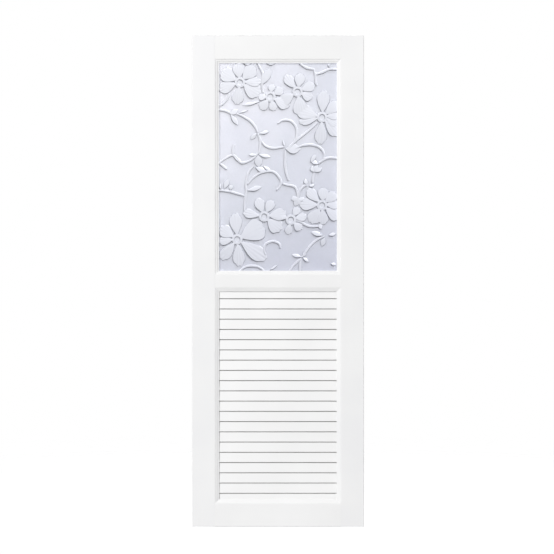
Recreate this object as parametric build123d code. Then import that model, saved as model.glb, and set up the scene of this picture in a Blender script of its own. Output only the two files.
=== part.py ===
# Half-glazed, half-louvred door leaf of hollow white plastic profiles.
# Millimetres: x runs across the leaf from its hinge edge, y through it (front face at -y), z up from its foot.

import os

from build123d import *

# Driving dimensions: the leaf and its frame of hollow profiles
LEAF_WIDTH = 700.0
LEAF_HEIGHT = 2000.0
LEAF_THICKNESS = 35.0
STILE_WIDTH = 93.0
TOP_RAIL_HEIGHT = 94.0
MID_RAIL_HEIGHT = 50.0
MID_RAIL_LIFT = 976.0
BOTTOM_RAIL_HEIGHT = 94.0
PROFILE_WALL = 2.5
OUTER_EDGE_RADIUS = 3.0
INNER_EDGE_RADIUS = 0.6

# Driving dimensions: plugs that close the sawn ends of the stiles
PLUG_LENGTH = 15.0
PLUG_CLEARANCE = 0.15

# Driving dimensions: the glass and its stepped beads
GLASS_THICKNESS = 5.0
GLASS_EDGE_CLEARANCE = 3.0
GLAZING_BEAD_WIDTH = 17.0
GLAZING_STEP_DROP = 2.0
GLAZING_LAND_FALL = 0.5
BEAD_SETBACK = 0.7
BEAD_LAND = 2.6
BEAD_ROUNDING = 0.8
STEP_RUN = 1.8

# Driving dimensions: the beads and the blades of the louvre
LOUVRE_BEAD_WIDTH = 18.0
LOUVRE_BEAD_HEIGHT = 7.5
LOUVRE_BEAD_NOSE = 1.0
LOUVRE_STEP_DROP = 1.3
CHANNEL_WALL = 1.8
CHANNEL_LEG = 12.0
BLADE_COUNT = 21
BLADE_WALL = 1.8
BLADE_FLARE = 2.4
BLADE_CLEARANCE = 0.2
BLADE_SLOT = 3.0
BLADE_FIN_RISE = 5.3
BLADE_ROUNDING = 0.8
LOUVRE_END_CLEARANCE = 1.6

# Places worked out from the driving dimensions
FACE_DEPTH = LEAF_THICKNESS / 2
OPENING_LEFT = STILE_WIDTH
OPENING_RIGHT = LEAF_WIDTH - STILE_WIDTH
OPENING_WIDTH = OPENING_RIGHT - OPENING_LEFT
LOUVRE_FOOT = BOTTOM_RAIL_HEIGHT
LOUVRE_HEAD = MID_RAIL_LIFT
GLASS_FOOT = MID_RAIL_LIFT + MID_RAIL_HEIGHT
GLASS_HEAD = LEAF_HEIGHT - TOP_RAIL_HEIGHT
CHANNEL_DEPTH = LEAF_THICKNESS - 2 * LOUVRE_BEAD_HEIGHT
BLADE_HALF_DEPTH = CHANNEL_DEPTH / 2 - CHANNEL_WALL - BLADE_CLEARANCE
BLADE_SPAN = LOUVRE_HEAD - LOUVRE_FOOT - 2 * LOUVRE_END_CLEARANCE
BLADE_PITCH = (BLADE_SPAN + BLADE_SLOT - BLADE_FIN_RISE) / BLADE_COUNT

parts = {}


def outline(points):
    """Face in the sketch plane bounded by straight lines through the points."""
    return make_face(Polyline(*points, close=True))


def rounded(face, corners, radius):
    """The face with the given corners rounded, found again by where they lie."""
    picked = [v for v in face.vertices() if any((Vector(v) - Vector(*c)).length < 1e-6 for c in corners)]
    return fillet(picked, radius)


# Frame: two stiles from foot to head, with three rails between them

def stile_section():
    """Hollow rectangle with soft arrises on the leaf's outer edge, drawn from that edge inwards."""
    outer = [(0, -FACE_DEPTH), (0, FACE_DEPTH)]
    inner = [(STILE_WIDTH, FACE_DEPTH), (STILE_WIDTH, -FACE_DEPTH)]
    shell = rounded(outline(outer + inner), outer, OUTER_EDGE_RADIUS)
    shell = rounded(shell, inner, INNER_EDGE_RADIUS)
    hollow = Rectangle(STILE_WIDTH - 2 * PROFILE_WALL, LEAF_THICKNESS - 2 * PROFILE_WALL)
    return shell - Pos(STILE_WIDTH / 2, 0) * hollow


def stile_plug():
    """Block that fills the hollow of a stile end, flush with the sawn face."""
    shrink = 2 * (PROFILE_WALL + PLUG_CLEARANCE)
    return Box(STILE_WIDTH - shrink, LEAF_THICKNESS - shrink, PLUG_LENGTH)


def rail(foot, height, foot_radius, head_radius):
    """Hollow rail across the opening, with its own softness on the lower and upper arrises."""
    low = [(-FACE_DEPTH, foot), (FACE_DEPTH, foot)]
    high = [(FACE_DEPTH, foot + height), (-FACE_DEPTH, foot + height)]
    shell = rounded(rounded(outline(low + high), low, foot_radius), high, head_radius)
    hollow = Rectangle(LEAF_THICKNESS - 2 * PROFILE_WALL, height - 2 * PROFILE_WALL)
    section = shell - Pos(0, foot + height / 2) * hollow
    return extrude(Plane.YZ.offset(OPENING_LEFT) * section, OPENING_WIDTH)


hinge_stile = extrude(stile_section(), LEAF_HEIGHT)
parts["hinge_stile"] = hinge_stile
parts["lock_stile"] = Pos(LEAF_WIDTH, 0, 0) * mirror(hinge_stile, about=Plane.YZ)
parts["top_rail"] = rail(GLASS_HEAD, TOP_RAIL_HEIGHT, INNER_EDGE_RADIUS, OUTER_EDGE_RADIUS)
parts["mid_rail"] = rail(MID_RAIL_LIFT, MID_RAIL_HEIGHT, INNER_EDGE_RADIUS, INNER_EDGE_RADIUS)
parts["bottom_rail"] = rail(0, BOTTOM_RAIL_HEIGHT, OUTER_EDGE_RADIUS, INNER_EDGE_RADIUS)

stile_middles = [STILE_WIDTH / 2, LEAF_WIDTH - STILE_WIDTH / 2]
plug_heights = [PLUG_LENGTH / 2, LEAF_HEIGHT - PLUG_LENGTH / 2]
parts["stile_end_plugs"] = Compound([Pos(x, 0, z) * stile_plug() for x in stile_middles for z in plug_heights])


# Mitred beads: four round the front and four round the rear of each opening

def bead_section(width, height, step_drop, land_fall):
    """Stepped bead: x inwards from the frame, y up from its seat. Two steps fall from the frame to the panel."""
    tread = (width - BEAD_LAND - 2 * STEP_RUN) / 2
    profile = [(BEAD_LAND, height)]
    for step in range(2):
        x, y = profile[-1]
        profile.append((x + STEP_RUN, y - step_drop))
        profile.append((x + STEP_RUN + tread, y - step_drop - land_fall))
    face = outline([(0, 0), (width, 0)] + profile[::-1] + [(0, height)])
    return rounded(face, profile, BEAD_ROUNDING)


def mitred_bead(section, width, run):
    """Bar of the section along x, centred, with its ends cut at 45 degrees towards the panel."""
    bar = extrude(Plane.YZ.offset(-run / 2) * section, run)
    half = run / 2
    plan = outline([(-half, 0), (half, 0), (half - width, width), (width - half, width)])
    return bar & extrude(plan, FACE_DEPTH)


def bead_frame(name, section, width, base_depth, foot, head):
    """Eight beads round an opening, seated on planes base_depth either side of the leaf's middle."""
    centre = Vector((OPENING_LEFT + OPENING_RIGHT) / 2, 0, (foot + head) / 2)
    across = mitred_bead(section, width, OPENING_WIDTH)
    upright = mitred_bead(section, width, head - foot)
    sides = [
        ("top", across, Vector(0, 0, -1), (head - foot) / 2),
        ("bottom", across, Vector(0, 0, 1), (head - foot) / 2),
        ("left", upright, Vector(1, 0, 0), OPENING_WIDTH / 2),
        ("right", upright, Vector(-1, 0, 0), OPENING_WIDTH / 2),
    ]
    for face_name, outward in (("front", Vector(0, -1, 0)), ("rear", Vector(0, 1, 0))):
        for side, bead, inward, reach in sides:
            seat = centre - inward * reach + outward * base_depth
            place = Plane(seat, x_dir=inward.cross(outward), z_dir=outward)
            parts[f"{name}_{face_name}_{side}"] = place * bead


glazing_height = FACE_DEPTH - BEAD_SETBACK - GLASS_THICKNESS / 2
glazing_section = bead_section(GLAZING_BEAD_WIDTH, glazing_height, GLAZING_STEP_DROP, GLAZING_LAND_FALL)
bead_frame("glazing_bead", glazing_section, GLAZING_BEAD_WIDTH, GLASS_THICKNESS / 2, GLASS_FOOT, GLASS_HEAD)

louvre_height = LOUVRE_BEAD_HEIGHT - BEAD_SETBACK
louvre_land_fall = (louvre_height - LOUVRE_BEAD_NOSE) / 2 - LOUVRE_STEP_DROP
louvre_section = bead_section(LOUVRE_BEAD_WIDTH, louvre_height, LOUVRE_STEP_DROP, louvre_land_fall)
bead_frame("louvre_bead", louvre_section, LOUVRE_BEAD_WIDTH, CHANNEL_DEPTH / 2, LOUVRE_FOOT, LOUVRE_HEAD)


# Glass: one pane held between the front and rear beads

pane_width = OPENING_WIDTH - 2 * GLASS_EDGE_CLEARANCE
pane_height = GLASS_HEAD - GLASS_FOOT - 2 * GLASS_EDGE_CLEARANCE
pane_middle = Pos(LEAF_WIDTH / 2, 0, (GLASS_FOOT + GLASS_HEAD) / 2)
parts["glass_pane"] = pane_middle * Box(pane_width, GLASS_THICKNESS, pane_height)


# Louvre: two channels on the stiles carry a stack of fixed, sight-proof blades

def channel():
    """Upright channel against the hinge stile, open towards the blades."""
    web = outline([
        (0, -CHANNEL_DEPTH / 2),
        (CHANNEL_LEG, -CHANNEL_DEPTH / 2),
        (CHANNEL_LEG, CHANNEL_DEPTH / 2),
        (0, CHANNEL_DEPTH / 2),
    ])
    throat = Rectangle(CHANNEL_LEG, CHANNEL_DEPTH - 2 * CHANNEL_WALL)
    section = web - Pos(CHANNEL_WALL + CHANNEL_LEG / 2, 0) * throat
    return Pos(OPENING_LEFT, 0, LOUVRE_FOOT) * extrude(section, LOUVRE_HEAD - LOUVRE_FOOT)


def blade_section():
    """Hood with two flared skirts and a fin that blocks the view: x through the leaf, y up from the skirts' lips."""
    shoulder_depth = BLADE_HALF_DEPTH - BLADE_FLARE
    shoulder_height = BLADE_PITCH - BLADE_SLOT
    lip = (BLADE_HALF_DEPTH, 0)
    shoulder = (shoulder_depth, shoulder_height)
    right = [
        (BLADE_HALF_DEPTH - BLADE_WALL, 0),
        lip,
        shoulder,
        (BLADE_WALL / 2, shoulder_height),
        (BLADE_WALL / 2, shoulder_height + BLADE_FIN_RISE),
    ]
    ceiling = (shoulder_depth - BLADE_WALL, shoulder_height - BLADE_WALL)
    left = [(-x, y) for x, y in reversed(right)]
    arrises = [lip, shoulder, (-lip[0], lip[1]), (-shoulder[0], shoulder[1])]
    return rounded(outline(right + left + [(-ceiling[0], ceiling[1]), ceiling]), arrises, BLADE_ROUNDING)


left_channel = channel()
parts["louvre_channel_left"] = left_channel
parts["louvre_channel_right"] = Pos(LEAF_WIDTH, 0, 0) * mirror(left_channel, about=Plane.YZ)

blade_left = OPENING_LEFT + CHANNEL_WALL
blade_length = OPENING_WIDTH - 2 * CHANNEL_WALL
blade = extrude(Plane.YZ.offset(blade_left) * blade_section(), blade_length)
for number in range(BLADE_COUNT):
    lip_height = LOUVRE_FOOT + LOUVRE_END_CLEARANCE + number * BLADE_PITCH
    parts[f"louvre_blade_{number + 1:02d}"] = Pos(0, 0, lip_height) * blade


# Export

os.makedirs("parts", exist_ok=True)
for name, shape in parts.items():
    export_step(shape, f"parts/{name}.step")
print(len(parts), "pieces; blade pitch", round(BLADE_PITCH, 2))
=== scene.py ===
# %% [markdown]
# # A half-glazed, half-louvred door leaf
# The leaf is white plastic: two stiles and three rails of hollow extrusion, an obscured glass pane with
# raised flowers above, and a stack of fixed louvre blades below. The frame file already holds every solid
# piece at its real size, so this lesson gives those pieces their finish, models the raised flowers of the
# glass, and sets up a plain studio. Blender works in metres, with x across the leaf, z up and the front face
# towards -y. The raised pattern is laid out in millimetres.

# %% Load the frame
import math

import bmesh
import bpy
import numpy as np
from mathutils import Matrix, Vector


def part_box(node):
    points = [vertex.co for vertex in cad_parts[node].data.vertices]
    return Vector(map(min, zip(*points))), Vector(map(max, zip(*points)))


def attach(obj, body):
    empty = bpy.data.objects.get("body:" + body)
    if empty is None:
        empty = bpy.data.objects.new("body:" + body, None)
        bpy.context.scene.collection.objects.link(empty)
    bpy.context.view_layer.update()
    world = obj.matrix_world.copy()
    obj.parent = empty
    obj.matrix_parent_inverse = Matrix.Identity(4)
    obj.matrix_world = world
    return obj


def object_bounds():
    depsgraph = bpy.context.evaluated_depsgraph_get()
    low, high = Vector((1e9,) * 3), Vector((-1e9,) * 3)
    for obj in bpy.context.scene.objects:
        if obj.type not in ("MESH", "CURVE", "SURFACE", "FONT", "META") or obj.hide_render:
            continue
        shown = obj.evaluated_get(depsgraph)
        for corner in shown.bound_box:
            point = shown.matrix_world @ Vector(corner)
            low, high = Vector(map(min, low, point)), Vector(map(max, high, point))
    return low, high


MM = 0.001
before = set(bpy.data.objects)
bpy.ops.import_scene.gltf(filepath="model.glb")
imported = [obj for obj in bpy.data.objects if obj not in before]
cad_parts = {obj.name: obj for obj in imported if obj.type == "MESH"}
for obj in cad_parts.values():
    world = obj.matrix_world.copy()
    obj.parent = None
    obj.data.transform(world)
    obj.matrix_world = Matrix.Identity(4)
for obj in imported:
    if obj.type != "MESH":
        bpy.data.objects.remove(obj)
cad_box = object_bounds()
print("loaded", len(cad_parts), "pieces, leaf size", [round(s, 3) for s in cad_box[1] - cad_box[0]])

# %% [markdown]
# ## Helpers for finishes
# A finish is a small graph of shader nodes. Colours are easiest to choose as sRGB hex values, the way a paint
# card or a screen shows them, but shaders add light in linear units, so one function converts them. One more
# function adds a node, sets it up and links it, which keeps each finish short enough to read as a recipe.

# %% Colour and node helpers
def linear(hex_colour):
    """An sRGB hex colour as linear red, green, blue and alpha."""
    channels = [int(hex_colour[start:start + 2], 16) / 255 for start in (1, 3, 5)]
    return [c / 12.92 if c <= 0.04045 else ((c + 0.055) / 1.055) ** 2.4 for c in channels] + [1.0]


def add_node(tree, kind, inputs=(), **settings):
    """One node with its settings. Inputs give each socket a value, or another node's output to link to."""
    node = tree.nodes.new(kind)
    for name, value in settings.items():
        setattr(node, name, value)
    for socket, value in dict(inputs).items():
        if isinstance(value, bpy.types.NodeSocket):
            tree.links.new(value, node.inputs[socket])
        else:
            node.inputs[socket].default_value = value
    return node


def new_finish(name):
    """An empty material and its node tree."""
    finish = bpy.data.materials.new(name)
    finish.use_nodes = True
    finish.node_tree.nodes.clear()
    return finish, finish.node_tree


print("white", [round(c, 3) for c in linear("#F4F4F4")[:3]])

# %% [markdown]
# ## Painted shade in the blade slots
# The ledges inside the louvre slots are painted grey as shade, which darkens the line of each slot. A
# second material would need new edges on the blades. Depth behind the face already tells the face from
# the ledges, so one small graph works out how much painted shade each point takes.

# %% Painted shade in the blade slots
SLOT_SHADE_COLOUR = "#AEADAA"
SLOT_SHADE_BEHIND_FACE_MM = (2.5, 3.1)
blade_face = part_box("louvre_blade_01")[1].y


def slot_shade_share(tree, place):
    """How much painted slot shade shows: none on a blade's face, all of it a few millimetres behind."""
    through = add_node(tree, "ShaderNodeSeparateXYZ", {0: place}).outputs["Y"]
    from_middle = add_node(tree, "ShaderNodeMath", {0: through}, operation="ABSOLUTE")
    share = add_node(tree, "ShaderNodeMapRange", {
        "Value": from_middle.outputs["Value"],
        "From Min": blade_face - SLOT_SHADE_BEHIND_FACE_MM[0] * MM,
        "From Max": blade_face - SLOT_SHADE_BEHIND_FACE_MM[1] * MM,
    })
    return share.outputs["Result"]


print("blade faces", round(blade_face / MM, 1), "mm from the middle of the leaf")

# %% [markdown]
# ## Extruded white uPVC
# The frame, beads and blades are rigid PVC pushed hot through a steel die and cooled in a sizing bath. That
# leaves a satin skin with faint lines along the run of each profile, and a white that drifts very slightly
# over a length. A stretched noise gives the die lines, so there is one finish for upright pieces and one for
# pieces that run across. Real die lines are under a millimetre apart, too fine for the picture, so they are
# drawn 5 mm apart.

# %% uPVC finishes
DIE_LINE_MM = 5.0
DIE_RUN_MM = 900.0
DIE_LINE_HEIGHT_MM = 0.06
DRIFT_MM = 260.0
DRIFT_STOPS = (0.35, 0.65)
SATIN_ROUGHNESS = (0.34, 0.46)
UPVC_IOR = 1.53
X_AXIS = 0
Z_AXIS = 2
# A mix node has sockets for every kind of data under the same names, so its colour sockets go by number.
MIX_FIRST = 6
MIX_SECOND = 7
MIX_RESULT = 2


def extruded_upvc(name, white, shade, run_axis, slot_shaded=False):
    """Satin white extrusion with die lines along one axis. A slot-shaded one has painted grey shade behind
    its face.
    """
    finish, tree = new_finish(name)
    place = add_node(tree, "ShaderNodeTexCoord").outputs["Object"]
    per_metre = [1 / (DIE_LINE_MM * MM)] * 3
    per_metre[run_axis] = 1 / (DIE_RUN_MM * MM)
    stretched = add_node(tree, "ShaderNodeMapping", {"Vector": place, "Scale": per_metre}).outputs[0]
    lines = add_node(tree, "ShaderNodeTexNoise", {"Vector": stretched, "Scale": 1.0, "Detail": 3.0})
    drift_scale = 1 / (DRIFT_MM * MM)
    drift = add_node(tree, "ShaderNodeTexNoise", {"Vector": place, "Scale": drift_scale, "Detail": 2.0})
    tone = add_node(tree, "ShaderNodeValToRGB", {"Fac": drift.outputs["Fac"]})
    for stop, position, colour in zip(tone.color_ramp.elements, DRIFT_STOPS, (shade, white)):
        stop.position = position
        stop.color = linear(colour)
    surface_colour = tone.outputs["Color"]
    # Painted shade: grey mixed in on the ledges a few millimetres behind each blade's face.
    if slot_shaded:
        surface_colour = add_node(tree, "ShaderNodeMix", {
            "Factor": slot_shade_share(tree, place),
            MIX_FIRST: surface_colour,
            MIX_SECOND: linear(SLOT_SHADE_COLOUR),
        }, data_type="RGBA").outputs[MIX_RESULT]
    satin = add_node(tree, "ShaderNodeMapRange", {
        "Value": lines.outputs["Fac"],
        "To Min": SATIN_ROUGHNESS[0],
        "To Max": SATIN_ROUGHNESS[1],
    })
    ridges = add_node(tree, "ShaderNodeBump", {
        "Height": lines.outputs["Fac"],
        "Strength": 0.25,
        "Distance": DIE_LINE_HEIGHT_MM * MM,
    })
    skin = add_node(tree, "ShaderNodeBsdfPrincipled", {
        "Base Color": surface_colour,
        "Roughness": satin.outputs["Result"],
        "Normal": ridges.outputs["Normal"],
        "IOR": UPVC_IOR,
    })
    add_node(tree, "ShaderNodeOutputMaterial", {"Surface": skin.outputs[0]})
    return finish


upright_upvc = extruded_upvc("extruded_upvc_upright", "#F5F5F5", "#F1F1F2", Z_AXIS)
across_upvc = extruded_upvc("extruded_upvc_across", "#F6F6F6", "#F2F2F2", X_AXIS)
blade_upvc = extruded_upvc("extruded_upvc_blade", "#F8F8F8", "#F4F4F4", X_AXIS, slot_shaded=True)
print("uPVC finishes:", upright_upvc.name, across_upvc.name, blade_upvc.name)

# %% [markdown]
# ## Moulded plugs
# The sawn ends of the stiles are closed by injection-moulded plugs. Moulding against a spark-eroded tool
# leaves an even, slightly grainy matt skin, a touch greyer than the extrusion round it.

# %% Plug finish
MOULD_GRAIN_MM = 0.8
MOULD_PIT_MM = 0.05
MATT_ROUGHNESS = (0.5, 0.7)


def moulded_upvc(name, colour):
    """Matt moulded plastic with a fine spark-eroded grain."""
    finish, tree = new_finish(name)
    place = add_node(tree, "ShaderNodeTexCoord").outputs["Object"]
    grain = add_node(tree, "ShaderNodeTexNoise", {"Vector": place, "Scale": 1 / (MOULD_GRAIN_MM * MM)})
    matt = add_node(tree, "ShaderNodeMapRange", {
        "Value": grain.outputs["Fac"],
        "To Min": MATT_ROUGHNESS[0],
        "To Max": MATT_ROUGHNESS[1],
    })
    pits = add_node(tree, "ShaderNodeBump", {
        "Height": grain.outputs["Fac"],
        "Strength": 0.4,
        "Distance": MOULD_PIT_MM * MM,
    })
    skin = add_node(tree, "ShaderNodeBsdfPrincipled", {
        "Base Color": linear(colour),
        "Roughness": matt.outputs["Result"],
        "Normal": pits.outputs["Normal"],
        "IOR": UPVC_IOR,
    })
    add_node(tree, "ShaderNodeOutputMaterial", {"Surface": skin.outputs[0]})
    return finish


plug_upvc = moulded_upvc("moulded_upvc_plug", "#E6E6E7")
print("plug finish:", plug_upvc.name)

# %% [markdown]
# ## Tint and painted shade of the glass
# The glass has a cool lavender cast. A plain colour would leave the pane flat, so painted shade darkens
# the tint diagonally down the sheet, where the glass gathers less light from above, and darkens it a
# little more under the top rail. The tint also drifts in soft clouds.

# %% Tint and painted shade of the glass
CLOUD_MM = 130.0
CLOUD_DEPTH = 0.15
PAINTED_SHADE_FALL = Vector((0.75, 0.0, -1.0))
TINT_MIDDLE = 0.5
HEAD_SHADE = 0.19
HEAD_SHADE_MM = 190.0
sight_low = Vector((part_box("glazing_bead_front_left")[1].x, 0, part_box("glazing_bead_front_bottom")[1].z))
sight_high = Vector((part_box("glazing_bead_front_right")[0].x, 0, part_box("glazing_bead_front_top")[0].z))
shade_fall_start = PAINTED_SHADE_FALL.dot(Vector((sight_low.x, 0, sight_high.z)))
shade_fall_end = PAINTED_SHADE_FALL.dot(Vector((sight_high.x, 0, sight_low.z)))


def sheet_tint_and_shade(tree, place, tints_and_shade):
    """The tint at each point, from three colours that grow darker as painted shade from the upper left of the
    sheet to its lower right.
    """
    # Painted shade: the tint darkens towards the lower right of the sheet.
    fall = add_node(tree, "ShaderNodeVectorMath", {0: place, 1: PAINTED_SHADE_FALL}, operation="DOT_PRODUCT")
    share = add_node(tree, "ShaderNodeMapRange", {
        "Value": fall.outputs["Value"],
        "From Min": shade_fall_start,
        "From Max": shade_fall_end,
    }).outputs["Result"]
    cloud_scale = 1 / (CLOUD_MM * MM)
    clouds = add_node(tree, "ShaderNodeTexNoise", {"Vector": place, "Scale": cloud_scale, "Detail": 1.0})
    drift = add_node(tree, "ShaderNodeMapRange", {
        "Value": clouds.outputs["Fac"],
        "To Min": -CLOUD_DEPTH,
        "To Max": CLOUD_DEPTH,
    }).outputs["Result"]
    # Painted shade: the tint darkens again under the top rail.
    head = add_node(tree, "ShaderNodeMapRange", {
        "Value": add_node(tree, "ShaderNodeSeparateXYZ", {0: place}).outputs["Z"],
        "From Min": sight_high.z - HEAD_SHADE_MM * MM,
        "From Max": sight_high.z,
        "To Max": HEAD_SHADE,
    }).outputs["Result"]
    clouded = add_node(tree, "ShaderNodeMath", {0: share, 1: drift}, operation="ADD").outputs["Value"]
    depth = add_node(tree, "ShaderNodeMath", {0: clouded, 1: head}, operation="ADD").outputs["Value"]
    tint = add_node(tree, "ShaderNodeValToRGB", {"Fac": depth})
    tint.color_ramp.elements.new(TINT_MIDDLE)
    for stop, colour in zip(tint.color_ramp.elements, tints_and_shade):
        stop.color = linear(colour)
    return tint.outputs["Color"]


print("sight of the glass", [round(s / MM) for s in sight_high - sight_low], "mm")

# %% [markdown]
# ## Obscured cast glass
# The pane is cast glass: pressed hot against a patterned roller, then etched to a satin. The raised flowers
# are etched more than the ground and look whiter. Their steep edges miss the etch and stay clear, and a
# darker tint on them is painted shade. The three finishes share one recipe: the tint with its painted
# shade, a low casting ripple, some light let through, and an IOR of 1.52. Real etch grain is far under a
# millimetre, too fine for the picture, so it is drawn at 2.4 mm.

# %% Glass finishes
GLASS_IOR = 1.52
RIPPLE_MM = 22.0
RIPPLE_HEIGHT_MM = 0.6
ETCH_GRAIN_MM = 2.4
ETCH_SPREAD = 0.05


def cast_glass(name, tints_and_shade, roughness, ripple, through):
    """Cast glass from its three colours with painted shade, the etch's roughness, the ripple's strength and
    the light let through.
    """
    finish, tree = new_finish(name)
    place = add_node(tree, "ShaderNodeTexCoord").outputs["Object"]
    ripple_scale = 1 / (RIPPLE_MM * MM)
    waves = add_node(tree, "ShaderNodeTexNoise", {"Vector": place, "Scale": ripple_scale, "Detail": 1.0})
    grain = add_node(tree, "ShaderNodeTexNoise", {"Vector": place, "Scale": 1 / (ETCH_GRAIN_MM * MM)})
    satin = add_node(tree, "ShaderNodeMapRange", {
        "Value": grain.outputs["Fac"],
        "To Min": roughness - ETCH_SPREAD,
        "To Max": roughness + ETCH_SPREAD,
    })
    surface = add_node(tree, "ShaderNodeBump", {
        "Height": waves.outputs["Fac"],
        "Strength": ripple,
        "Distance": RIPPLE_HEIGHT_MM * MM,
    })
    glass = add_node(tree, "ShaderNodeBsdfPrincipled", {
        "Base Color": sheet_tint_and_shade(tree, place, tints_and_shade),
        "Roughness": satin.outputs["Result"],
        "Normal": surface.outputs["Normal"],
        "IOR": GLASS_IOR,
        "Transmission Weight": through,
    })
    add_node(tree, "ShaderNodeOutputMaterial", {"Surface": glass.outputs[0]})
    return finish


# Each set runs from light to dark towards the lower right of the sheet, as painted shade.
GROUND_TINTS_AND_SHADE = ("#D7D7DD", "#C1C3CB", "#B2B4BF")
ETCHED_TINTS_AND_SHADE = ("#D2D3D9", "#C7C9D1", "#C0C2CC")
# The clear edge is darker than the etch: painted shade on the steep edges.
EDGE_TINTS_AND_SHADE = ("#B6B8C1", "#A3A6B1", "#989BA8")
ground_glass = cast_glass("cast_glass_ground", GROUND_TINTS_AND_SHADE, roughness=0.26, ripple=0.25, through=0.2)
etched_glass = cast_glass("cast_glass_etched_relief", ETCHED_TINTS_AND_SHADE, roughness=0.36, ripple=0.1, through=0.1)
clear_edge_shaded_glass = cast_glass("cast_glass_clear_edge_painted_shade", EDGE_TINTS_AND_SHADE, roughness=0.18, ripple=0.0, through=0.2)
print("glass finishes:", ground_glass.name, etched_glass.name, clear_edge_shaded_glass.name)

# %% [markdown]
# ## Dress the solid pieces
# Each piece of the frame keeps its shape and only changes its material slot. Pieces that stand upright take
# the finish whose die lines run up, the rest take the one whose lines run across.

# %% Dress the frame
UPRIGHT_ENDINGS = ("stile", "_left", "_right")


def finish_for(node):
    """The finish of a named piece."""
    if node == "glass_pane":
        return ground_glass
    if node == "stile_end_plugs":
        return plug_upvc
    if node.startswith("louvre_blade"):
        return blade_upvc
    return upright_upvc if node.endswith(UPRIGHT_ENDINGS) else across_upvc


for name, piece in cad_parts.items():
    piece.data.materials.clear()
    piece.data.materials.append(finish_for(name))
print("dressed", len(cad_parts), "pieces")

# %% [markdown]
# ## Raised flowers: how the relief is built
# A pressed flower is a low, closed pad of glass: a steep edge a few millimetres wide, then a gently domed
# face. A displaced grid could do this, but a grid fine enough for clean edges would be huge. Instead each
# petal gets its own rings of points that follow its outline, so the edges stay crisp with few faces. A
# tendril is a row of cross-sections in the same way.

# %% Relief as rings and strips
class Relief:
    """Closed pads in millimetres: u right and v down from a corner inside the pane, and rise."""

    def __init__(self):
        self.points = []
        self.faces = []

    def rings(self, rings):
        """A pad from closed rings of equal length, outermost first. The first ring is closed underneath."""
        start, count = len(self.points), len(rings[0])
        for ring in rings:
            self.points.extend(ring)
        for level in range(len(rings) - 1):
            low, high = start + level * count, start + (level + 1) * count
            for i in range(count):
                j = (i + 1) % count
                self.faces.append((low + i, low + j, high + j, high + i))
        self.faces.append(tuple(start + i for i in reversed(range(count))))

    def strip(self, sections):
        """A ridge from open cross-sections of equal length, closed underneath and at both ends."""
        start, count = len(self.points), len(sections[0])
        for section in sections:
            self.points.extend(section)
        for k in range(len(sections) - 1):
            low, high = start + k * count, start + (k + 1) * count
            for i in range(count):
                j = (i + 1) % count
                self.faces.append((low + i, high + i, high + j, low + j))
        last = start + (len(sections) - 1) * count
        self.faces.append(tuple(start + i for i in range(count)))
        self.faces.append(tuple(last + i for i in reversed(range(count))))


pane_low, pane_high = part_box("glass_pane")
print("pane faces at y =", round(pane_low.y / MM, 2), "and", round(pane_high.y / MM, 2), "mm")

# %% [markdown]
# ## From relief to pane
# Pads sink slightly into the pane, overlap each other as real petals do, and are trimmed where the beads
# cover the sheet. Cutting the finished mesh with four planes and closing the cuts keeps every pad a closed
# shell. Faces steeper than 40 degrees take a second material: on flowers and leaves the clear edge, whose
# darker tint is painted shade, and on the round tendrils the same etch as the rest.

# %% Trim the relief and set it on the pane
SHEET_MARGIN = 16.0
SHARP_DEGREES = 25.0
STEEP_DEGREES = 40.0
WELD_MM = 0.02


def trim_to_sight(work):
    """Cuts a mesh off at the four edges of the visible glass and closes the cuts."""
    for corner, direction in ((sight_low, -1), (sight_high, 1)):
        for axis in (Vector((direction, 0, 0)), Vector((0, 0, direction))):
            everything = work.verts[:] + work.edges[:] + work.faces[:]
            cut = bmesh.ops.bisect_plane(
                work, geom=everything, plane_co=corner, plane_no=axis, clear_outer=True)
            rim = [e for e in cut["geom_cut"] if isinstance(e, bmesh.types.BMEdge)]
            bmesh.ops.holes_fill(work, edges=rim, sides=0)


def on_pane(relief, name, face_y, outward, steep):
    """One piece of relief on a face of the pane. Outward is -1 for the front and 1 for the rear."""
    left = pane_low.x + SHEET_MARGIN * MM
    head = pane_high.z - SHEET_MARGIN * MM
    places = [(left + u * MM, face_y + outward * rise * MM, head - v * MM) for u, v, rise in relief.points]
    mesh = bpy.data.meshes.new(name)
    mesh.from_pydata(places, [], relief.faces)
    work = bmesh.new()
    work.from_mesh(mesh)
    bmesh.ops.remove_doubles(work, verts=work.verts[:], dist=WELD_MM * MM)
    trim_to_sight(work)
    bmesh.ops.recalc_face_normals(work, faces=work.faces[:])
    for face in work.faces:
        face.smooth = True
        face.material_index = int(abs(face.normal.y) < math.cos(math.radians(STEEP_DEGREES)))
    for edge in work.edges:
        edge.smooth = edge.calc_face_angle(0) < math.radians(SHARP_DEGREES)
    work.to_mesh(mesh)
    work.free()
    piece = bpy.data.objects.new(name, mesh)
    bpy.context.scene.collection.objects.link(piece)
    mesh.materials.append(etched_glass)
    mesh.materials.append(steep)
    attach(piece, "root")
    print(name, len(mesh.polygons), "faces")
    return piece


def on_both_faces(relief, name, steep):
    """The same relief on the front of the pane and, mirrored through the glass, on its rear."""
    front = on_pane(relief, f"{name}_front", pane_low.y, -1, steep)
    rear = on_pane(relief, f"{name}_rear", pane_high.y, 1, steep)
    return [front, rear]


print("relief is laid out from", SHEET_MARGIN, "mm inside the upper left corner of the pane")

# %% [markdown]
# ## Outline of petals and leaves
# One formula serves both: the half width swells from the base, is widest past the middle and closes at the
# tip. A petal is blunt with shallow lobes, a leaf is slimmer and pointed. Stations crowd together at both
# ends, where the outline turns most. Each point of the outline has a point on the spine that it climbs to.

# %% Petal outline
PETAL_SWELL = 1.55
PETAL_BLUNT = 0.62
TIP_LOBES = 3
LOBES_FROM = 0.6
LOBES_FADE_IN = 0.3
SPINE_SPAN = (0.22, 0.8)


def clamp(value, low=0, high=1):
    """The value, held between two limits."""
    return min(max(value, low), high)


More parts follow.
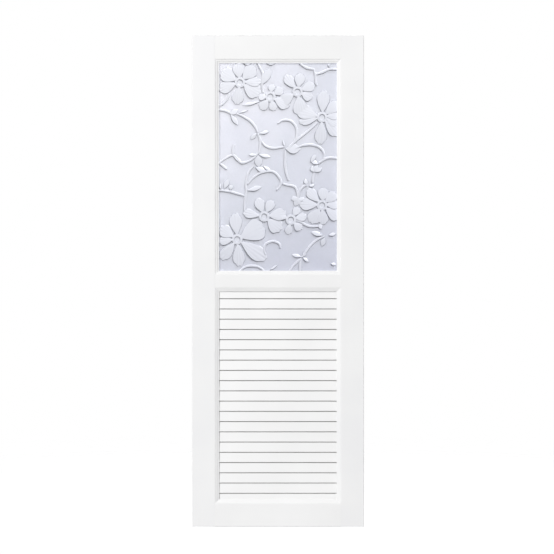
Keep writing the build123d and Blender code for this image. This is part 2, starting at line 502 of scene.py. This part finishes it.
def petal_outline(length, width, swell, blunt, notch, stations):
    """Outline and spine points in the petal's own axes: out from its base, and off to its side."""
    steps = [(1 - math.cos(math.pi * k / stations)) / 2 for k in range(stations + 1)]
    loop = [(t, 1) for t in steps] + [(t, -1) for t in reversed(steps[1:-1])]
    outer, spine = [], []
    for t, side in loop:
        fullness = max(math.sin(math.pi * t ** swell), 0) ** blunt
        lobe = (1 + math.cos(TIP_LOBES * math.pi * fullness)) / 2
        reach = t - notch * lobe * clamp((t - LOBES_FROM) / LOBES_FADE_IN)
        outer.append(np.array((length * reach, side * width / 2 * fullness)))
        spine.append(np.array((length * clamp(t, *SPINE_SPAN), 0.0)))
    return outer, spine


print("a petal is widest at", round(0.5 ** (1 / PETAL_SWELL), 2), "of its length")

# %% [markdown]
# ## Petal pads
# The rings run from the outline, up the steep edge, to the spine. Each pad leans so that its lower left side
# stands higher: where two petals meet, one then laps over the other as roof shingles do, and the step between
# them catches the light. Towards the tip the pad falls away, so petals stand proud at the heart of the flower
# and melt into the sheet at their ends. Petals have soft flutes that fan out from the foot, a few tenths of a
# millimetre high, which a raking light is enough to show.

# %% Petal pads
SINK = 0.3
EDGE_WIDTH = 1.8
EDGE_LIMIT = 0.9
PETAL_STATIONS = 24
PETAL_RINGS = 9
LEAF_STATIONS = 14
LEAF_RINGS = 3
PETAL_RISE = 2.4
PETAL_DOME = 0.5
PETAL_LEAN = 1.5
LAP_TOWARDS = np.array((-0.45, 0.89))
TIP_FALL = 0.6
TIP_FROM = 0.35
TIP_CURVE = 1.5
TIP_NOTCH = 0.05
NOTCH_LEAST = 0.6
NOTCH_SPREAD = 0.8
PATTERN_STEP = 0.37
FAN_BEHIND = 0.3
FLUTE_DEGREES = 7.0
FLUTE_DEPTH = 0.24
FLUTE_BLEND = 0.25
FINE_FLUTE_SHARE = 0.6
FINE_FLUTE_RATE = 1.7
SHORTEST = 1e-6


def flute(out, off, own_pattern):
    """Rise of the flutes at a point given in petal lengths. They fan out and grow from behind the foot."""
    reach = out + FAN_BEHIND
    turn = 2 * math.pi * math.degrees(math.atan2(off, reach)) / FLUTE_DEGREES
    fine = FINE_FLUTE_SHARE * math.cos(FINE_FLUTE_RATE * turn - own_pattern)
    return FLUTE_DEPTH * (math.cos(turn + own_pattern) + fine) * reach


def pad(relief, base, angle, length, width, swell=PETAL_SWELL, blunt=PETAL_BLUNT, notch=TIP_NOTCH,
        rise=PETAL_RISE, leaf=False):
    """A petal or leaf from its base point towards an angle in degrees, counted up from the right."""
    along = np.array((math.cos(math.radians(angle)), -math.sin(math.radians(angle))))
    aside = np.array((-along[1], along[0]))
    stations, levels = (LEAF_STATIONS, LEAF_RINGS) if leaf else (PETAL_STATIONS, PETAL_RINGS)
    own_pattern = PATTERN_STEP * len(relief.points)
    own_notch = notch * (NOTCH_LEAST + NOTCH_SPREAD * (own_pattern % 1))
    outer, spine = petal_outline(length, width, swell, blunt, own_notch, stations)
    lean = PETAL_LEAN * aside.dot(LAP_TOWARDS) / (width / 2)
    rings = [[(*(base + along * out + aside * off), -SINK) for out, off in outer]]
    for level in range(levels):
        share = level / (levels - 1)
        ring = []
        for edge, middle in zip(outer, spine):
            inset = min(EDGE_WIDTH / max(np.linalg.norm(middle - edge), SHORTEST), EDGE_LIMIT)
            out, off = edge + (middle - edge) * (inset + (1 - inset) * share)
            near_tip = clamp((out / length - TIP_FROM) / (1 - TIP_FROM))
            height = rise + PETAL_DOME * share * (2 - share) + lean * off
            height *= 1 - TIP_FALL * near_tip ** TIP_CURVE
            if not leaf:
                height += flute(out / length, off / length, own_pattern) * min(share / FLUTE_BLEND, 1)
            ring.append((*(base + along * out + aside * off), height))
        rings.append(ring)
    relief.rings(rings)


print("a petal has", PETAL_RINGS + 1, "rings of", 2 * PETAL_STATIONS, "points")

# %% [markdown]
# ## The flowers
# Eight open flowers, four across the head of the pane and four at its foot. Each has a centre on the sheet
# and a list of petals: the angle it points to, its length and its width, and for one broad petal its own
# swell and bluntness. The heart is a small crater with a raised rim, turned from a profile of radius and
# rise.

# %% Flowers
FLOWERS = {
    "head_left": ((83, 76), [
        (97, 80, 50), (47, 92, 60), (2, 90, 42), (-32, 98, 66), (-98, 94, 50), (199, 94, 52),
        (150, 92, 62)]),
    "head_small": ((207, 134), [
        (82, 54, 32), (32, 62, 38), (-27, 90, 52), (-74, 62, 38), (-127, 68, 42), (183, 52, 32)]),
    "head_middle": ((318, 114), [
        (127, 86, 42), (80, 80, 46), (24, 78, 46), (-22, 66, 46), (-80, 104, 64), (212, 90, 52)]),
    "head_right": ((418, 218), [
        (86, 114, 54), (42, 96, 50), (8, 70, 38), (-22, 74, 42), (-48, 106, 50), (-94, 115, 52),
        (163, 114, 62), (192, 100, 40)]),
    "foot_middle": ((182, 623), [
        (110, 82, 44), (63, 78, 42), (8, 94, 54), (-40, 92, 62), (169, 92, 40)]),
    "foot_left": ((72, 716), [
        (95, 112, 54), (27, 124, 92, 1.9, 0.42), (-35, 146, 64), (-85, 114, 52), (-129, 108, 50),
        (186, 80, 38), (146, 88, 54)]),
    "foot_small": ((291, 636), [
        (58, 62, 36), (14, 68, 38), (-44, 62, 38), (-103, 64, 34), (158, 58, 34)]),
    "foot_right": ((418, 577), [
        (133, 92, 44), (85, 74, 46), (42, 80, 46), (4, 70, 42), (-38, 96, 50), (-86, 82, 46),
        (177, 96, 50), (-124, 90, 58)]),
}
PETAL_FOOT = 12.8
RISE_STEP = 0.15
RISE_STEPS = 3
HEART_PROFILE = [
    (23.0, -SINK), (21.5, 2.6), (16.0, 3.0), (12.6, 3.1), (12.0, 3.0), (10.4, 0.7), (9.5, 0.5), (0.5, 1.2)]
HEART_SIDES = 32


def heart(relief, centre):
    """The crater at the middle of a flower, closed on top by its innermost ring."""
    turns = [2 * math.pi * k / HEART_SIDES for k in range(HEART_SIDES)]
    rings = [
        [(centre[0] + r * math.cos(a), centre[1] - r * math.sin(a), rise) for a in turns]
        for r, rise in HEART_PROFILE
    ]
    relief.rings(rings)
    relief.faces.append(tuple(len(relief.points) - HEART_SIDES + k for k in range(HEART_SIDES)))


flowers = Relief()
for centre, petals in FLOWERS.values():
    for order, (angle, length, width, *shape) in enumerate(petals):
        turn = math.radians(angle)
        foot = np.array((centre[0] + PETAL_FOOT * math.cos(turn), centre[1] - PETAL_FOOT * math.sin(turn)))
        rise = PETAL_RISE + RISE_STEP * (order % RISE_STEPS)
        pad(flowers, foot, angle, length - PETAL_FOOT, width, *shape, rise=rise)
    heart(flowers, centre)
glass_flowers = on_both_faces(flowers, "glass_flowers", clear_edge_shaded_glass)

# %% [markdown]
# ## Tendrils
# Tendrils are half-round ridges that wander between the flowers. A few listed points per tendril are enough:
# a Catmull-Rom curve passes smoothly through all of them, and the ridge is swept along it, thinning towards
# its ends. A curve object with a round bevel would be quicker, but half of each tube would hide in the pane.

# %% Tendrils
TENDRILS = [
    [(154, -4), (167, 20), (176, 40), (174, 61), (173, 84), (177, 118)],
    [(326, -2), (343, 10), (360, 18), (385, 23)],
    [(385, 21), (391, 48), (392, 74), (397, 89)],
    [(393, 43), (419, 35), (449, 22), (480, 23)],
    [(-4, 187), (24, 192), (46, 202)],
    [(72, 204), (101, 217), (127, 235), (147, 260), (154, 280)],
    [(155, 284), (165, 310), (164, 340), (159, 367)],
    [(170, 315), (184, 332), (204, 342), (230, 344), (265, 338)],
    [(238, 243), (253, 232), (272, 229), (293, 235), (310, 254), (315, 277), (312, 302), (298, 325),
     (277, 342)],
    [(285, 343), (313, 313), (343, 289), (373, 264), (399, 240)],
    [(307, 347), (333, 335), (360, 330), (390, 333), (413, 345), (426, 367), (423, 391)],
    [(405, 406), (426, 391), (449, 383), (480, 386)],
    [(-4, 406), (24, 386), (49, 373), (65, 379), (87, 403), (117, 398), (140, 383), (157, 365)],
    [(267, 350), (267, 381), (267, 414), (271, 444), (281, 475)],
    [(-4, 516), (37, 520), (71, 529), (101, 538)],
    [(140, 417), (124, 434), (112, 460), (107, 494), (109, 517), (104, 547), (101, 580), (101, 600)],
    [(115, 490), (137, 465), (164, 447), (194, 439), (220, 441), (240, 459), (251, 482), (242, 505),
     (233, 515)],
    [(257, 489), (277, 494), (303, 500), (315, 517), (318, 550)],
    [(319, 550), (326, 520), (341, 501), (358, 494)],
    [(378, 485), (381, 464), (386, 444)],
    [(310, 640), (333, 646), (353, 658), (376, 664), (403, 663)],
    [(428, 703), (396, 719), (371, 741), (350, 769), (336, 789)],
    [(335, 792), (303, 821), (282, 849)],
    [(333, 796), (328, 819), (327, 849)],
    [(188, 779), (181, 756), (190, 734), (217, 724), (243, 734), (247, 751)],
    [(82, 846), (104, 829), (130, 824), (160, 829), (184, 846)],
    [(-4, 173), (14, 162), (28, 148), (36, 134), (41, 122)],
    [(53, 372), (54, 350), (57, 330)],
    [(-4, 404), (10, 413), (22, 424), (28, 430)],
]
TENDRIL_HALF = 5.4
TENDRIL_END_SHARE = 0.65
TENDRIL_RISE = 2.7
TENDRIL_STEPS = 7
TENDRIL_ROUND = [(-0.68, 0.88), (0, 1), (0.68, 0.88)]


def smooth_path(points, steps):
    """Points along a Catmull-Rom curve through the given ones."""
    p = [np.array(q, float) for q in [points[0]] + points + [points[-1]]]
    path = []
    for a, b, c, d in zip(p, p[1:], p[2:], p[3:]):
        for k in range(steps):
            t = k / steps
            bend = (2 * a - 5 * b + 4 * c - d) * t ** 2 + (3 * b - a - 3 * c + d) * t ** 3
            path.append(0.5 * (2 * b + (c - a) * t + bend))
    return path + [p[-1]]


def tendril(relief, points):
    """A half-round ridge along a smooth path, slimmer at both ends, with its feet sunk in the pane."""
    path = smooth_path(points, TENDRIL_STEPS)
    crown = [(across, TENDRIL_RISE * share) for across, share in TENDRIL_ROUND]
    profile = [(-1, -SINK)] + crown + [(1, -SINK)]
    sections = []
    for k, place in enumerate(path):
        ahead = path[min(k + 1, len(path) - 1)] - path[max(k - 1, 0)]
        aside = np.array((-ahead[1], ahead[0])) / np.linalg.norm(ahead)
        fullness = math.sin(math.pi * k / (len(path) - 1))
        half = TENDRIL_HALF * (TENDRIL_END_SHARE + (1 - TENDRIL_END_SHARE) * fullness)
        sections.append([(*(place + aside * across * half), rise) for across, rise in profile])
    relief.strip(sections)


tendrils = Relief()
for route in TENDRILS:
    tendril(tendrils, route)
glass_tendrils = on_both_faces(tendrils, "glass_tendrils", etched_glass)

# %% [markdown]
# ## Leaves and buds
# Small pads fill the forks of the tendrils: slim leaves, and buds made of two or three short ones side by
# side. Each is given by its base, its tip and its width, and uses the petal formula with a pointed tip.

# %% Leaves
LEAVES = [
    ((177, 84), (207, 15), 34), ((152, 282), (125, 310), 20), ((159, 285), (205, 275), 16),
    ((266, 346), (332, 348), 42), ((41, 207), (74, 187), 26), ((44, 204), (76, 252), 20),
    ((157, 370), (117, 372), 14), ((157, 370), (210, 381), 16), ((157, 370), (159, 423), 34),
    ((371, 403), (393, 368), 20), ((406, 410), (370, 396), 18), ((297, 333), (326, 292), 14),
    ((77, 202), (120, 187), 10), ((18, 512), (37, 467), 24), ((44, 517), (49, 490), 20),
    ((111, 517), (174, 501), 22), ((144, 421), (190, 442), 22), ((177, 416), (210, 439), 14),
    ((322, 545), (290, 554), 24), ((322, 545), (306, 582), 28), ((320, 557), (346, 547), 20),
    ((385, 444), (376, 416), 24), ((386, 442), (419, 424), 22), ((386, 442), (400, 412), 24),
    ((356, 495), (348, 469), 20), ((363, 500), (390, 494), 14), ((401, 665), (421, 661), 26),
    ((423, 701), (371, 686), 20), ((443, 700), (476, 692), 16), ((429, 706), (416, 746), 24),
    ((336, 788), (292, 778), 16), ((338, 789), (365, 809), 14), ((338, 788), (353, 766), 18),
    ((451, 814), (476, 820), 14), ((322, 545), (331, 579), 22), ((4, 514), (2, 488), 12),
    ((164, 154), (91, 170), 16), ((92, -5), (134, -6), 26), ((190, 0), (232, -6), 20),
    ((443, -2), (447, 16), 10), ((266, 340), (256, 306), 10), ((55, 375), (92, 405), 14),
    ((205, 842), (238, 818), 12),
]
LEAF_SHAPE = {"swell": 1.1, "blunt": 0.85, "notch": 0.0, "rise": 2.2, "leaf": True}
leaves = Relief()
for base, tip, width in LEAVES:
    right, up = tip[0] - base[0], base[1] - tip[1]
    angle = math.degrees(math.atan2(up, right))
    pad(leaves, np.array(base, float), angle, math.hypot(right, up), width, **LEAF_SHAPE)
glass_leaves = on_both_faces(leaves, "glass_leaves", clear_edge_shaded_glass)

# %% [markdown]
# ## Floor
# The leaf stands on a plain pale floor that fades into a white surround, so no horizon cuts across the
# picture. The lamps are kept off the floor, so its paint glows by itself. Diffuse rays don't see it, because
# a glowing floor would light the foot of the leaf from below.

# %% Floor
FLOOR_SIZE = 16.0
FLOOR_GAP_MM = 1.0
FADE_START = 1.2
FADE_END = 4.5
FLOOR_GLOW = 0.80
reach = FLOOR_SIZE / 2
corners = [(-reach, -reach, 0), (reach, -reach, 0), (reach, reach, 0), (-reach, reach, 0)]
floor_mesh = bpy.data.meshes.new("floor")
floor_mesh.from_pydata(corners, [], [(0, 1, 2, 3)])
floor = bpy.data.objects.new("floor", floor_mesh)
floor.location = (cad_box[1].x / 2, 0, cad_box[0].z - FLOOR_GAP_MM * MM)
bpy.context.scene.collection.objects.link(floor)
floor.visible_diffuse = False
floor_finish, tree = new_finish("pale_floor_paint")
place = add_node(tree, "ShaderNodeTexCoord").outputs["Object"]
away = add_node(tree, "ShaderNodeVectorMath", {0: place}, operation="LENGTH")
fade = add_node(tree, "ShaderNodeMapRange", {
    "Value": away.outputs["Value"],
    "From Min": FADE_START,
    "From Max": FADE_END,
}, interpolation_type="SMOOTHSTEP").outputs["Result"]
paint = add_node(tree, "ShaderNodeBsdfDiffuse", {"Color": linear("#E0E0E0")})
glow = add_node(tree, "ShaderNodeEmission", {"Color": linear("#FFFFFF"), "Strength": FLOOR_GLOW})
lit = add_node(tree, "ShaderNodeAddShader", {0: paint.outputs[0], 1: glow.outputs[0]})
clear = add_node(tree, "ShaderNodeBsdfTransparent")
mixed = add_node(tree, "ShaderNodeMixShader", {0: fade, 1: lit.outputs[0], 2: clear.outputs[0]})
add_node(tree, "ShaderNodeOutputMaterial", {"Surface": mixed.outputs[0]})
floor_mesh.materials.append(floor_finish)
print("floor at z =", round(floor.location.z / MM, 1), "mm")

# %% [markdown]
# ## White surround
# A plain white world shows behind the leaf. As a light it is much weaker and only fills the shadows, because
# a full white world would wash out the fine lines of the beads. The standard view transform keeps white
# white.

# %% White surround
FILL_STRENGTH = 0.28
world = bpy.data.worlds.new("white_surround")
bpy.context.scene.world = world
world.use_nodes = True
tree = world.node_tree
tree.nodes.clear()
seen = add_node(tree, "ShaderNodeLightPath").outputs["Is Camera Ray"]
fill = add_node(tree, "ShaderNodeBackground", {"Color": linear("#FFFFFF"), "Strength": FILL_STRENGTH})
white = add_node(tree, "ShaderNodeBackground", {"Color": linear("#FFFFFF"), "Strength": 1.0})
shown = add_node(tree, "ShaderNodeMixShader", {0: seen, 1: fill.outputs[0], 2: white.outputs[0]})
add_node(tree, "ShaderNodeOutputWorld", {"Surface": shown.outputs[0]})
bpy.context.scene.view_settings.view_transform = "Standard"
print("white surround, fill", FILL_STRENGTH)

# %% [markdown]
# ## Lamps
# Low relief only shows when light skims over it, while the frame looks best in a broad light. A photographer
# uses both and screens each lamp off from what it shouldn't reach. Light linking does that screening: every
# lamp has a list of the pieces that it lights. A broad key from the upper left models the frame, a weaker one
# that stands higher puts the beads' thin shadows on the glass, and a raking lamp from the upper right skims
# the flowers, whose shadows are the only ones that it casts. The rear has the same three, and a weak lamp at
# each side lights the stiles' edges.

# %% Lamp helpers
def piece_list(name, pieces):
    """A collection that only lists pieces for a lamp."""
    listed = bpy.data.collections.new(name)
    for piece in pieces:
        listed.objects.link(piece)
    return listed


def soft_lamp(name, direction, distance, middle, size, watts, lit):
    """A square soft lamp that faces a middle point from a direction and lights only the listed pieces."""
    lamp = bpy.data.lights.new(name, "AREA")
    lamp.size = size
    lamp.energy = watts
    holder = bpy.data.objects.new(name, lamp)
    holder.location = middle + direction.normalized() * distance
    holder.rotation_euler = (middle - holder.location).to_track_quat("-Z", "Y").to_euler()
    holder.light_linking.receiver_collection = lit
    bpy.context.scene.collection.objects.link(holder)
    return holder


leaf_middle = (cad_box[0] + cad_box[1]) / 2
pane_middle = (pane_low + pane_high) / 2
print("lamps face the heights", round(leaf_middle.z, 3), "and", round(pane_middle.z, 3), "m")

# %% Lamps
KEY_FROM = Vector((-0.34, -0.86, 0.34))
KEY_DISTANCE = 20.0
KEY_SIZE = 3.4
KEY_WATTS = 3150.0
GLASS_KEY_FROM = Vector((-0.45, -0.72, 0.52))
GLASS_KEY_WATTS = 2250.0
EDGE_FROM = Vector((1.0, 0.0, 0.0))
EDGE_WATTS = 450.0
RAKE_FROM = Vector((0.42, -0.48, 0.76))
RAKE_DISTANCE = 30.0
RAKE_SIZE = 1.9
RAKE_WATTS = 14700.0
# The lamps of the rear are those of the front, given a half turn round the leaf.
FACINGS = (("front", Vector((1, 1, 1))), ("rear", Vector((-1, -1, 1))))
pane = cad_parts["glass_pane"]
frame_pieces = [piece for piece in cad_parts.values() if piece != pane]
stiles = [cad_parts[name] for name in ("hinge_stile", "lock_stile")]

for face, (side, facing) in enumerate(FACINGS):
    relief_pieces = [glass_flowers[face], glass_tendrils[face], glass_leaves[face]]
    frame_list = piece_list(f"frame_{side}", frame_pieces)
    glass_list = piece_list(f"glass_{side}", relief_pieces + [pane])
    key_from, glass_key_from, rake_from = (d * facing for d in (KEY_FROM, GLASS_KEY_FROM, RAKE_FROM))
    soft_lamp(f"key_{side}", key_from, KEY_DISTANCE, leaf_middle, KEY_SIZE, KEY_WATTS, frame_list)
    soft_lamp(
        f"glass_key_{side}", glass_key_from, KEY_DISTANCE, pane_middle, KEY_SIZE, GLASS_KEY_WATTS, glass_list)
    rake = soft_lamp(
        f"rake_{side}", rake_from, RAKE_DISTANCE, pane_middle, RAKE_SIZE, RAKE_WATTS, glass_list)
    rake.light_linking.blocker_collection = piece_list(f"relief_{side}", relief_pieces)
for side, edge_from in (("left", -EDGE_FROM), ("right", EDGE_FROM)):
    stile_list = piece_list(f"stiles_{side}", stiles)
    soft_lamp(f"edge_{side}", edge_from, KEY_DISTANCE, leaf_middle, KEY_SIZE, EDGE_WATTS, stile_list)

# %% [markdown]
# ## Camera
# The picture looks straight at the front face with almost no perspective, so the camera has a long lens and
# stands well back. Its distance follows from the width that the picture covers at the leaf's front face, and
# its height and sideways place put the leaf where the picture has it.

# %% Camera
PICTURE_PIXELS = 554
MM_PER_PIXEL = 4.07
LEAF_MIDDLE_PIXEL = (277.95, 281.3)
LENS_MM = 120.0
SENSOR_MM = 36.0
distance = PICTURE_PIXELS * MM_PER_PIXEL * MM * LENS_MM / SENSOR_MM
offset = [(pixel - PICTURE_PIXELS / 2) * MM_PER_PIXEL * MM for pixel in LEAF_MIDDLE_PIXEL]
lens = bpy.data.cameras.new("camera")
lens.lens = LENS_MM
lens.sensor_width = SENSOR_MM
camera = bpy.data.objects.new("camera", lens)
camera.location = (leaf_middle.x - offset[0], cad_box[0].y - distance, leaf_middle.z + offset[1])
camera.rotation_euler = (math.radians(90), 0, 0)
bpy.context.scene.collection.objects.link(camera)
bpy.context.scene.camera = camera
print("camera", round(distance, 2), "m from the front face")
